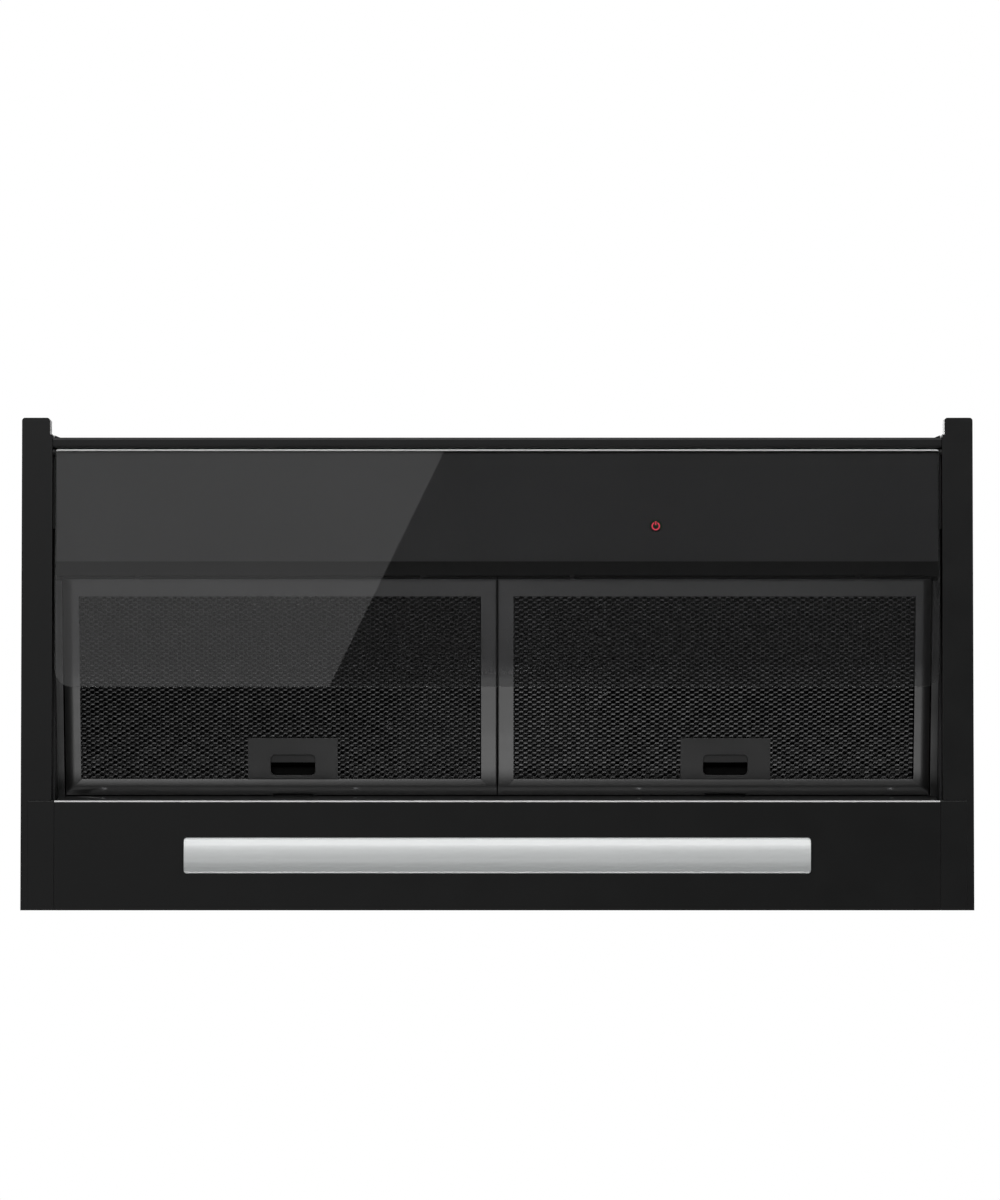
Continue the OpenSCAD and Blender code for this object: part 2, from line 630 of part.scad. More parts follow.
top_plate();
end_sheet(body_y0);  // front_sheet
end_sheet(body_y1 - sheet);  // rear_sheet
side_sheet(-1);  // side_sheet_left
side_sheet(1);  // side_sheet_right
sheet_rivets();
side_rail(-1);  // side_rail_left
side_rail(1);  // side_rail_right
corner_block(-1);  // corner_block_left
corner_block(1);  // corner_block_right
rear_bar();
front_rail();
gussets();
filter_carrier();
carrier_screws();
lamp_tray();
lamp_diffuser();
led_board();
led_chips();
lamp_driver();
lamp_screws();
hinge_pins();
catch_studs();
glass_panel();
glass_print();
power_symbol();
control_box();
control_board();
hinge_arms();
arm_screws();
filter_frame(-1);  // filter_frame_left
filter_mesh(-1);  // filter_mesh_left
latch_plate(-1);  // latch_plate_left
filter_rod(-1);  // filter_rod_left
latch_slider(-1);  // latch_slider_left
latch_spring(-1);  // latch_spring_left
filter_frame(1);  // filter_frame_right
filter_mesh(1);  // filter_mesh_right
latch_plate(1);  // latch_plate_right
filter_rod(1);  // filter_rod_right
latch_slider(1);  // latch_slider_right
latch_spring(1);  // latch_spring_right
scroll_band();
scroll_cheek(-1);  // scroll_cheek_left
scroll_cheek(1);  // scroll_cheek_right
fan_screws();
motor();
motor_bracket();
rubber_mounts();
impeller();
motor_shaft();
capacitor();
electronics_box();
terminal_box();
cable_gland();
duct_collar();
collar_screws();
damper(-1);  // damper_left
damper(1);  // damper_right
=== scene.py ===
import json
import math

import bmesh
import bpy
from mathutils import Matrix, Vector


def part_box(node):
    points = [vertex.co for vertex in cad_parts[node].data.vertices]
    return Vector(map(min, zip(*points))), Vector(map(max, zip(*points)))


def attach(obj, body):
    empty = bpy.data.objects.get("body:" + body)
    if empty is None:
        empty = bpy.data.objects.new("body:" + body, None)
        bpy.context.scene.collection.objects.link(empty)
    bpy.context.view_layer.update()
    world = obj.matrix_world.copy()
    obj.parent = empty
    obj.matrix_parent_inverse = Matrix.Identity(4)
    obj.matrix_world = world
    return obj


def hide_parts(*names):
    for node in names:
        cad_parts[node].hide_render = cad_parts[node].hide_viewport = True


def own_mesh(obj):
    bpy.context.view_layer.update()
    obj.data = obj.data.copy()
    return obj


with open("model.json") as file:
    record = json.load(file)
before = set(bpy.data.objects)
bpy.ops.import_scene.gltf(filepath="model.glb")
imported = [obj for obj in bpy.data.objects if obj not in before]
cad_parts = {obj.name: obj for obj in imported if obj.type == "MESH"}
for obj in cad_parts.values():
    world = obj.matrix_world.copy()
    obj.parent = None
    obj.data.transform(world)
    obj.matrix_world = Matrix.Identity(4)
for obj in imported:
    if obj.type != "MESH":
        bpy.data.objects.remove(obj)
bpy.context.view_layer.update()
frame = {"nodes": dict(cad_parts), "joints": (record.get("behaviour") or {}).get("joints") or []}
nodes = frame["nodes"]
joints = {j["name"]: j for j in frame["joints"]}

MM = 0.001
SIDES = {"left": -1, "right": 1}


# ---------- camera and lights ----------

def aim(obj, side, up, back, place, turn=0.0):
    """Puts obj at place with the given X, Y and Z axes, then turns it about its own Z."""
    rot = Matrix((side, up, back)).transposed() @ Matrix.Rotation(turn, 3, "Z")
    obj.matrix_world = Matrix.Translation(place) @ rot.to_4x4()


CAMERA_TILT = math.radians(2.451)
CAMERA_PLACE = Vector((0.0017, 0.1080, -3.4740))

camera_data = bpy.data.cameras.new("camera")
camera_data.lens = 165
camera_data.sensor_width = 36
camera_data.clip_end = 100
camera = bpy.data.objects.new("camera", camera_data)
bpy.context.scene.collection.objects.link(camera)
ct, st = math.cos(CAMERA_TILT), math.sin(CAMERA_TILT)
aim(camera, (1, 0, 0), (0, -ct, -st), (0, st, -ct), CAMERA_PLACE)
bpy.context.scene.camera = camera


def softbox(name, place, target, width, height, radiance, turn=0.0):
    """Rectangular lamp facing target, turned about its own axis, unseen by the camera."""
    light = bpy.data.lights.new(name, "AREA")
    light.shape = "RECTANGLE"
    light.size, light.size_y = width, height
    light.energy = radiance * math.pi * width * height
    obj = bpy.data.objects.new(name, light)
    bpy.context.scene.collection.objects.link(obj)
    back = (Vector(place) - Vector(target)).normalized()
    side = Vector((0, 1, 0)).cross(back) if abs(back.y) < 0.9 else Vector((1, 0, 0))
    side.normalize()
    aim(obj, side, back.cross(side), back, place, turn)
    obj.visible_camera = False


# The key's right edge crosses the glass as a diagonal line, which fixes its place and turn
KEY_Z = -2.5
KEY_EDGE = (Vector((-0.057, -0.4123)), Vector((-0.1827, -0.1533)))
KEY_W, KEY_H = 1.5, 1.9
along = (KEY_EDGE[1] - KEY_EDGE[0]).normalized()
outward = Vector((-along.y, along.x))
mid = (KEY_EDGE[0] + KEY_EDGE[1]) / 2 + outward * KEY_W / 2
softbox("key", (mid.x, mid.y, KEY_Z), (mid.x, mid.y, 0), KEY_W, KEY_H, 0.47,
        turn=math.atan2(along.x, along.y))

softbox("front", (0, -1.93, -1.05), (0, 0, 0), 1.0, 1.25, 5)
softbox("fill_front", (0, -1.0, -1.3), (0, 0, 0), 2.0, 0.6, 2.2)
softbox("rear_low", (0, 2.2, -0.15), (0, 0, 0), 1.0, 0.35, 7)
softbox("rear_below", (0, 1.25, -2.5), (0, 0.02, 0), 1.5, 0.9, 0.9)
softbox("overhead", (-0.8, 0.6, 3.2), (0, 0, 0.2), 2.6, 2.6, 4.2)
softbox("back_side", (1.8, 2.6, 1.2), (0, 0, 0.1), 1.6, 1.6, 5.5)
softbox("side_right", (2.6, -1.2, 1.0), (0.3, 0, 0.13), 1.5, 1.5, 4)
softbox("side_left", (-2.8, 0.9, 1.2), (-0.3, 0, 0.13), 1.5, 1.5, 2.5)


def mix_shaders(nt, factor, a, b):
    """a where factor is 0, b where it is 1."""
    m = nt.nodes.new("ShaderNodeMixShader")
    for i, output in enumerate((factor, a, b)):
        nt.links.new(output, m.inputs[i])
    return m.outputs[0]


def seen_directly(nt, lit, seen):
    """The shader lit for everything but the camera's own rays, which get seen."""
    path = nt.nodes.new("ShaderNodeLightPath")
    return mix_shaders(nt, path.outputs["Is Camera Ray"], lit, seen)


world = bpy.data.worlds.new("studio")
bpy.context.scene.world = world
world.use_nodes = True
wt = world.node_tree
wt.nodes.clear()
w_out = wt.nodes.new("ShaderNodeOutputWorld")
w_seen = wt.nodes.new("ShaderNodeBackground")
w_lit = wt.nodes.new("ShaderNodeBackground")
w_seen.inputs["Color"].default_value = (1, 1, 1, 1)
w_lit.inputs["Color"].default_value = (0.97, 0.985, 1, 1)
w_lit.inputs["Strength"].default_value = 0.06
wt.links.new(seen_directly(wt, w_lit.outputs[0], w_seen.outputs[0]), w_out.inputs[0])
bpy.context.scene.view_settings.view_transform = "Standard"


# ---------- materials ----------

def tree(name):
    """A new material with only a Principled shader and its output."""
    m = bpy.data.materials.new(name)
    m.use_nodes = True
    nt = m.node_tree
    nt.nodes.clear()
    out = nt.nodes.new("ShaderNodeOutputMaterial")
    shader = nt.nodes.new("ShaderNodeBsdfPrincipled")
    nt.links.new(shader.outputs[0], out.inputs["Surface"])
    return m, nt, shader, out


def noise(nt, scale, detail=3.0, stretch=None):
    """Noise in the object's own coordinates, with scale in cells per metre."""
    co = nt.nodes.new("ShaderNodeTexCoord")
    n = nt.nodes.new("ShaderNodeTexNoise")
    n.inputs["Scale"].default_value = scale
    n.inputs["Detail"].default_value = detail
    if stretch:
        mapping = nt.nodes.new("ShaderNodeMapping")
        mapping.inputs["Scale"].default_value = stretch
        nt.links.new(co.outputs["Object"], mapping.inputs["Vector"])
        nt.links.new(mapping.outputs[0], n.inputs["Vector"])
    else:
        nt.links.new(co.outputs["Object"], n.inputs["Vector"])
    return n.outputs["Fac"]


def ranged(nt, value, low, high, from_min=0.3, from_max=0.7):
    """Value stretched from from_min..from_max, which most noise lies within, to low..high."""
    r = nt.nodes.new("ShaderNodeMapRange")
    nt.links.new(value, r.inputs["Value"])
    r.inputs["From Min"].default_value = from_min
    r.inputs["From Max"].default_value = from_max
    r.inputs["To Min"].default_value = low
    r.inputs["To Max"].default_value = high
    return r.outputs["Result"]


def blend_colour(nt, factor, a, b):
    m = nt.nodes.new("ShaderNodeMix")
    m.data_type = "RGBA"
    nt.links.new(factor, m.inputs["Factor"])
    for value, socket in ((a, m.inputs["A"]), (b, m.inputs["B"])):
        if isinstance(value, tuple):
            socket.default_value = (*value, 1)
        else:
            nt.links.new(value, socket)
    return m.outputs["Result"]


def blend_value(nt, factor, a, b):
    m = nt.nodes.new("ShaderNodeMix")
    nt.links.new(factor, m.inputs["Factor"])
    nt.links.new(a, m.inputs["A"])
    m.inputs["B"].default_value = b
    return m.outputs["Result"]


def coordinate(nt, axis):
    """The object's own X, Y or Z, which moves with it."""
    co = nt.nodes.new("ShaderNodeTexCoord")
    xyz = nt.nodes.new("ShaderNodeSeparateXYZ")
    nt.links.new(co.outputs["Object"], xyz.inputs[0])
    return xyz.outputs[axis]


def calculate(nt, operation, a, b):
    n = nt.nodes.new("ShaderNodeMath")
    n.operation = operation
    nt.links.new(a, n.inputs[0])
    nt.links.new(b, n.inputs[1])
    return n.outputs[0]


def within(nt, ranges):
    """Product of masks, each 0 at its from and 1 at its to along one axis."""
    mask = None
    for axis, start, end in ranges:
        part = ranged(nt, coordinate(nt, axis), 0, 1, start, end)
        mask = calculate(nt, "MULTIPLY", mask, part) if mask else part
    return mask


def edge_mask(nt, radius, low=0.02, high=0.35):
    """About 1 on worn convex or concave edges within radius, 0 on flats."""
    bevel = nt.nodes.new("ShaderNodeBevel")
    bevel.samples = 3
    bevel.inputs["Radius"].default_value = radius
    geometry = nt.nodes.new("ShaderNodeNewGeometry")
    dot = nt.nodes.new("ShaderNodeVectorMath")
    dot.operation = "DOT_PRODUCT"
    nt.links.new(bevel.outputs[0], dot.inputs[0])
    nt.links.new(geometry.outputs["Normal"], dot.inputs[1])
    return ranged(nt, dot.outputs["Value"], 1, 0, from_min=1 - high, from_max=1 - low)


WEAR_WIDTH = 0.0006


def finish(name, colour, rough, metallic=0.0, vary=0.25, rough_vary=0.08, patch=9.0, grain=1400.0,
           bump=0.00004, strength=0.25, stretch=None, wear=None, specular=0.5, blotch=None, painted_light_zone=None):
    """A surface with patchy colour, uneven gloss, a fine grain and, if wear is given, lighter edges.

    blotch is (scale, colour) for larger spots. The painted zone is ([(axis, from, to), ...], colour,
    roughness) for a part where a highlight or shade is painted in; each range fades in between from and to.
    """
    m, nt, s, _ = tree(name)
    dark = tuple(c * (1 - vary) for c in colour)
    light = tuple(min(1, c * (1 + vary)) for c in colour)
    base = blend_colour(nt, ranged(nt, noise(nt, patch, 4), 0, 1), dark, light)
    if blotch:
        base = blend_colour(nt, ranged(nt, noise(nt, blotch[0], 5), 0, 1, 0.5, 0.75), base, blotch[1])
    gloss = ranged(nt, noise(nt, patch * 5, 5, stretch), rough - rough_vary, rough + rough_vary)
    if wear:
        base = blend_colour(nt, edge_mask(nt, WEAR_WIDTH), base, wear)
    # The painted zone lays a painted highlight or painted shade over one part of the surface
    if painted_light_zone:
        ranges, tint, matt = painted_light_zone
        there = within(nt, ranges)
        base = blend_colour(nt, there, base, tint)
        gloss = blend_value(nt, there, gloss, matt)
    nt.links.new(base, s.inputs["Base Color"])
    nt.links.new(gloss, s.inputs["Roughness"])
    s.inputs["Metallic"].default_value = metallic
    s.inputs["Specular IOR Level"].default_value = specular
    b = nt.nodes.new("ShaderNodeBump")
    b.inputs["Strength"].default_value = strength
    b.inputs["Distance"].default_value = bump
    nt.links.new(noise(nt, grain, 2, stretch), b.inputs["Height"])
    nt.links.new(b.outputs[0], s.inputs["Normal"])
    return m


def clear_glass(name, tint, rim_and_glint_tint):
    """A smoked pane: tinted straight-through light, a mirror with faint smears, a paler frosted rim, and a
    highlight painted in the rim's colour along the front lower edge.
    """
    m, nt, s, out = tree(name)
    nt.nodes.remove(s)
    through = nt.nodes.new("ShaderNodeBsdfTransparent")
    colour = blend_colour(nt, ranged(nt, noise(nt, 7, 3), 0, 1), tuple(0.97 * t for t in tint), tint)
    nt.links.new(colour, through.inputs["Color"])
    mirror = nt.nodes.new("ShaderNodeBsdfGlossy")
    mirror.inputs["Color"].default_value = (1, 1, 1, 1)
    nt.links.new(ranged(nt, noise(nt, 30, 5), 0.004, 0.008), mirror.inputs["Roughness"])
    fresnel = nt.nodes.new("ShaderNodeFresnel")
    fresnel.inputs["IOR"].default_value = 1.50
    pane = mix_shaders(nt, fresnel.outputs[0], through.outputs[0], mirror.outputs[0])
    edge = nt.nodes.new("ShaderNodeBsdfDiffuse")
    edge.inputs["Color"].default_value = (*rim_and_glint_tint, 1)
    nose = Vector((0, GLASS[0].y, GLASS[0].z + GLASS_SLOPE * (GLASS[1].y - GLASS[0].y)))
    # The strip along the front lower edge is a painted highlight in the paler edge colour
    edge_glint = within(nt, lower_edge(nose, 1.3 * MM, 0.9 * MM))
    rim = calculate(nt, "MAXIMUM", ranged(nt, edge_mask(nt, 0.0007), 0, 0.16, 0, 1),
                    ranged(nt, edge_glint, 0, 0.9, 0, 1))
    nt.links.new(mix_shaders(nt, rim, pane, edge.outputs[0]), out.inputs["Surface"])
    return m


def glowing(name, colour, glow, power, **look):
    """A finish that also gives off light of colour glow."""
    m = finish(name, colour, look.pop("rough", 0.4), **{"vary": 0.1, **look})
    s = next(n for n in m.node_tree.nodes if n.type == "BSDF_PRINCIPLED")
    s.inputs["Emission Color"].default_value = (*glow, 1)
    s.inputs["Emission Strength"].default_value = power
    return m


BLACK = (0.0068, 0.0070, 0.0072)
LATCH_GREY, LATCH_WEAR = (0.045, 0.045, 0.0455), (0.1, 0.1, 0.1)
GLASS_SLOPE = math.tan(math.radians(1.15))
ROD = sum(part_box("filter_rod_left"), Vector()) / 2
BAR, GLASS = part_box("rear_bar")[0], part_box("glass_panel")
TAB = Vector(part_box("latch_slider_left")[0])


def lower_edge(corner, outside, inside):
    """Ranges for the strip along a piece's front lower edge."""
    return [("Y", corner.y + outside, corner.y + inside), ("Z", corner.z + outside, corner.z + inside)]


mats = {
    "trim": finish("satin_black_trim", BLACK, 0.42, vary=0.12, rough_vary=0.04, specular=0.37,
                   wear=(0.02, 0.02, 0.021)),
    # The bar's pale, glossier strip along its front lower edge is a painted highlight line
    "bar": finish("satin_black_bar", BLACK, 0.40, vary=0.10, rough_vary=0.03, specular=0.36,
                  wear=(0.03, 0.03, 0.03),
                  painted_light_zone=(lower_edge(BAR, 1.2 * MM, 0.8 * MM), (0.80, 0.80, 0.80), 0.3)),
    "body": finish("powder_coated_body", (0.019, 0.0193, 0.020), 0.40, vary=0.06, rough_vary=0.02,
                   grain=1100, bump=0.00009, strength=0.4, wear=(0.05, 0.05, 0.05)),
    "dark": finish("burnished_black", (0.006, 0.006, 0.006), 0.55, vary=0.15, rough_vary=0.04,
                   specular=0.3, wear=(0.01, 0.01, 0.01)),
    "rivet": finish("painted_rivet", (0.03, 0.03, 0.031), 0.4, vary=0.2, patch=90,
                    wear=(0.2, 0.2, 0.2)),
    # In front of the filter rods the carrier is painted near-black and matt: painted shade on its front
    # cross bar
    "carrier": finish("carrier_paint_and_painted_shade", (0.020, 0.020, 0.0203), 0.34, vary=0.12, specular=1.0,
                      rough_vary=0.04, wear=(0.03, 0.03, 0.03),
                      painted_light_zone=([("Y", ROD.y - 2.6 * MM, ROD.y - 3.1 * MM)], (0.002, 0.002, 0.002), 0.9)),
    "frame": finish("dark_anodised_frame", (0.192, 0.192, 0.192), 0.33, metallic=1.0, vary=0.05,
                    rough_vary=0.03, grain=2400, stretch=(0.05, 1, 1), wear=(0.22, 0.22, 0.225)),
    "mesh": finish("anodised_mesh", (0.168, 0.168, 0.170), 0.30, metallic=1.0, vary=0.25, patch=160,
                   grain=3000),
    # The inner layer is the outer mesh's anodised metal painted much darker: painted shade behind the outer
    # mesh
    "mesh_inner": finish("mesh_inner_painted_shade", (0.02, 0.02, 0.02), 0.5, metallic=1.0, vary=0.3,
                         patch=160),
    "latch": finish("latch_paint", LATCH_GREY, 0.38, vary=0.06, rough_vary=0.03, wear=LATCH_WEAR),
    # The tab's part more than 3 mm into the slot is painted near-black and matt: painted shade inside the
    # finger slot
    "tab": finish("latch_tab", LATCH_GREY, 0.38, vary=0.06, rough_vary=0.03, specular=0.3,
                  wear=LATCH_WEAR,
                  painted_light_zone=([("Z", TAB.z + 2.9 * MM, TAB.z + 3.1 * MM)], (0.001, 0.001, 0.001), 0.9)),
    # Near-black with almost no gloss: painted shade behind the finger slot
    "pocket": finish("pocket_painted_shade", (0.002, 0.002, 0.002), 0.8, vary=0.2, specular=0.05),
    "zinc": finish("zinc_plate", (0.6, 0.61, 0.62), 0.30, metallic=1.0, vary=0.12, patch=60,
                   grain=900, blotch=(120, (0.5, 0.5, 0.48)), wear=(0.75, 0.75, 0.76)),
    "galvanised": finish("galvanised_sheet", (0.5, 0.52, 0.53), 0.38, metallic=1.0, vary=0.2, patch=45,
                         grain=500, blotch=(70, (0.62, 0.64, 0.66))),
    # The unlit cover's faint glow is painted light that brightens it
    "opal": glowing("opal_cover_painted_glow", (0.86, 0.875, 0.875), (0.9, 1, 1), 0.045, rough=0.12, vary=0.01,
                    rough_vary=0.02, grain=700, bump=0.00001, strength=0.1),
    "print": finish("ceramic_print", (0.142, 0.142, 0.144), 0.42, vary=0.02, rough_vary=0.02, grain=2600,
                    bump=0.000003, specular=0.3, strength=0.1),
    "symbol": glowing("lit_symbol", (0.8, 0.05, 0.08), (1.0, 0.075, 0.13), 1.05),
    "board": finish("solder_mask", (0.02, 0.16, 0.07), 0.35, vary=0.2, patch=80, grain=900),
    "white_board": finish("white_solder_mask", (0.85, 0.85, 0.82), 0.4, vary=0.04, patch=60),
    "chips": glowing("led_phosphor", (0.95, 0.8, 0.35), (1, 0.85, 0.5), 0.05),
    "grey_plastic": finish("moulded_grey", (0.12, 0.121, 0.125), 0.45, vary=0.12, grain=1000,
                           bump=0.00008, wear=(0.18, 0.18, 0.185)),
    "dark_plastic": finish("moulded_black", (0.018, 0.018, 0.019), 0.42, vary=0.15, grain=1200,
                           bump=0.00008, wear=(0.04, 0.04, 0.042)),
    "motor": finish("motor_steel", (0.42, 0.42, 0.43), 0.32, metallic=1.0, vary=0.15, patch=50,
                    grain=800, blotch=(60, (0.3, 0.3, 0.31))),
    "rubber": finish("moulded_rubber", (0.02, 0.02, 0.02), 0.7, vary=0.25, patch=120, grain=1500),
    "can": finish("capacitor_can", (0.78, 0.78, 0.75), 0.3, vary=0.05, patch=40),
    "damper": finish("damper_plastic", (0.3, 0.31, 0.32), 0.45, vary=0.1, grain=900,
                     bump=0.00006, wear=(0.4, 0.4, 0.41)),
    "glass": clear_glass("smoked_glass", (0.785, 0.785, 0.79), (0.66, 0.68, 0.67)),
}

NODE_MATERIALS = {
    "trim": ["side_rail_left", "side_rail_right", "corner_block_left", "corner_block_right",
             "front_rail", "gussets", "catch_studs"],
    "bar": ["rear_bar"],
    "body": ["top_plate", "front_sheet", "rear_sheet", "side_sheet_left", "side_sheet_right"],
    "carrier": ["filter_carrier"],
    "dark": ["hinge_arms", "hinge_pins"],
    "rivet": ["sheet_rivets"],
    "zinc": ["carrier_screws", "lamp_screws", "arm_screws", "fan_screws", "collar_screws",
             "filter_rod_left", "filter_rod_right", "latch_spring_left",
             "latch_spring_right", "motor_shaft"],
    "galvanised": ["lamp_tray", "motor_bracket"],
    "opal": ["lamp_diffuser"],
    "white_board": ["led_board"],
    "chips": ["led_chips"],
    "glass": ["glass_panel"],
    "print": ["glass_print"],
    "symbol": ["power_symbol"],
    "dark_plastic": ["control_box", "electronics_box", "terminal_box", "cable_gland", "duct_collar"],
    "board": ["control_board"],
    "grey_plastic": ["lamp_driver", "scroll_band", "scroll_cheek_left", "scroll_cheek_right",
                     "impeller"],
    "frame": ["filter_frame_left", "filter_frame_right"],
    "latch": ["latch_plate_left", "latch_plate_right"],
    "tab": ["latch_slider_left", "latch_slider_right"],
    "motor": ["motor"],
    "rubber": ["rubber_mounts"],
    "can": ["capacitor"],
    "damper": ["damper_left", "damper_right"],
    "mesh": ["filter_mesh_left", "filter_mesh_right"],
}
for key_name, members in NODE_MATERIALS.items():
    for n in members:
        nodes[n].data.materials.clear()
        nodes[n].data.materials.append(mats[key_name])

# Width of the rounded edges on the CAD nodes, in millimetres; the rest get a plain narrow one
EDGES = {
    "top_plate": 0.4, "front_sheet": 0.3, "rear_sheet": 0.3, "side_sheet_left": 0.3,
    "side_sheet_right": 0.3, "sheet_rivets": 0.3, "duct_collar": 0.4,
    "side_rail_left": 0.3, "side_rail_right": 0.3, "front_rail": 0.3, "rear_bar": 0.35,
    "corner_block_left": 0.12, "corner_block_right": 0.12,
    "glass_panel": 0.3, "lamp_diffuser": 0.2, "filter_carrier": 0.3, "hinge_arms": 0.3,
    "latch_plate_left": 0.18, "latch_plate_right": 0.18,
    "scroll_band": 0.4, "motor": 0.8, "capacitor": 0.8, "lamp_driver": 0.6,
    "control_box": 0.4, "electronics_box": 0.8, "terminal_box": 0.8,
}
PLAIN_EDGE = 0.15


def soften(obj, width, segments):
    """Welds the node's split corners and rounds its edges by modifiers, leaving its mesh alone."""
    for p in obj.data.polygons:
        p.use_smooth = True
    weld = obj.modifiers.new("weld", "WELD")
    weld.merge_threshold = 0.000004
    planes = obj.modifiers.new("planes", "DECIMATE")
    planes.decimate_type = "DISSOLVE"
    planes.angle_limit = math.radians(0.4)
    bevel = obj.modifiers.new("bevel", "BEVEL")
    bevel.width = width * MM
    bevel.segments = segments
    bevel.limit_method = "ANGLE"
    bevel.angle_limit = math.radians(32)
    bevel.use_clamp_overlap = True
    weighted = obj.modifiers.new("flats", "WEIGHTED_NORMAL")
    weighted.mode = "FACE_AREA"
    weighted.weight = 100


for n, obj in nodes.items():
    soften(obj, EDGES.get(n, PLAIN_EDGE), 3 if n in EDGES else 1)


# ---------- pieces built here ----------

def add_piece(name, bm, body, material, place, smooth=True):
    """A new object from bm, moved by place, that rides body and takes the finish mats[material]."""
    mesh = bpy.data.meshes.new(name)
    bmesh.ops.recalc_face_normals(bm, faces=bm.faces)
    bm.to_mesh(mesh)
    bm.free()
    for p in mesh.polygons:
        p.use_smooth = smooth
    mesh.transform(place)
    mesh.materials.append(mats[material])
    obj = bpy.data.objects.new(name, mesh)
    bpy.context.scene.collection.objects.link(obj)
    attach(obj, body)
    return obj


slide = Vector(joints["latch_slide_left"]["axis"])
FILTER_TILT = math.atan2(-slide.z, -slide.y)
FILTER_HALF_T = 4.5 * MM


class Filter:
    """A filter's own frame: X across, Y from its rod to its rear edge, Z through its thickness."""

    def __init__(self, side):
        lo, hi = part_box("filter_frame_" + side)
        rod_lo, rod_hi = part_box("filter_rod_" + side)
        rod = (rod_lo + rod_hi) / 2
        self.width = hi.x - lo.x
        self.place = (Matrix.Translation(((lo.x + hi.x) / 2, rod.y, rod.z))
                      @ Matrix.Rotation(FILTER_TILT, 4, "X"))
        self.rear = (hi.y - rod.y - FILTER_HALF_T * math.sin(FILTER_TILT)) / math.cos(FILTER_TILT)
        self.front = -1.5 * MM
        plate_lo, plate_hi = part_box("latch_plate_" + side)
        self.plate_x = (plate_lo.x + plate_hi.x) / 2 - (lo.x + hi.x) / 2
        self.plate_w = plate_hi.x - plate_lo.x


MEMBER_X, MEMBER_Y = 9.8 * MM, 10.8 * MM
PLATE_L = 26.6 * MM
MESH_LAP, PLATE_LAP = 0.6 * MM, 1.6 * MM


def expanded_metal(f, name, body, material, z, pitch_x, pitch_y, tilt, lift, thick, bond, seed):
    """Slit and stretched sheet: bonds on a staggered lattice, each with four twisted strands.

    bond is a bond's half length and half width. lift raises its two ends, and its corners on one
    diagonal, which twists the strands.
    """
    x1 = f.width / 2 - MEMBER_X + MESH_LAP
    x0, y0, y1 = -x1, f.front + MEMBER_Y - MESH_LAP, f.rear - MEMBER_Y + MESH_LAP
    a, b = bond
    ring = [(-a, 0, lift[0]), (-0.75 * a, b, lift[1]), (0.75 * a, b, 0),
            (a, 0, lift[0]), (0.75 * a, -b, lift[1]), (-0.75 * a, -b, 0)]
    L, TL, TR, R, BR, BL = range(6)
    bm = bmesh.new()
    bonds = {}
    cols, rows = int((x1 - x0) / pitch_x * 2), int((y1 - y0) / pitch_y * 2)
    hole_x, hole_y = f.plate_w / 2 - PLATE_LAP, f.rear - MEMBER_Y - PLATE_L + PLATE_LAP
    for j in range(rows + 1):
        for i in range(cols + 1):
            if (i + j) % 2:
                continue
            cx, cy = x0 + i * pitch_x / 2, y0 + j * pitch_y / 2
            if abs(cx - f.plate_x) < hole_x and cy > hole_y:
                continue
            wobble = 0.05 * math.sin(i * 12.9898 + j * 78.233 + seed)
            bonds[i, j] = [
                bm.verts.new((min(max(cx + u, x0), x1), min(max(cy + v, y0), y1),
                              z + up + v * (tilt + wobble)))
                for u, v, up in ring
            ]
    for (i, j), v in bonds.items():
        for face in ([v[TL], v[BL], v[BR], v[TR]], [v[TL], v[L], v[BL]], [v[BR], v[R], v[TR]]):
            bm.faces.new(face[::-1])
        up = bonds.get((i + 1, j + 1))
        if up:
            bm.faces.new([v[R], up[BL], up[L], v[TR]])
        down = bonds.get((i + 1, j - 1))
        if down:
            bm.faces.new([v[BR], down[L], down[TL], v[R]])
    obj = add_piece(name, bm, body, material, f.place, smooth=False)
    solid = obj.modifiers.new("thickness", "SOLIDIFY")
    solid.thickness = thick
    solid.offset = 0
    return obj


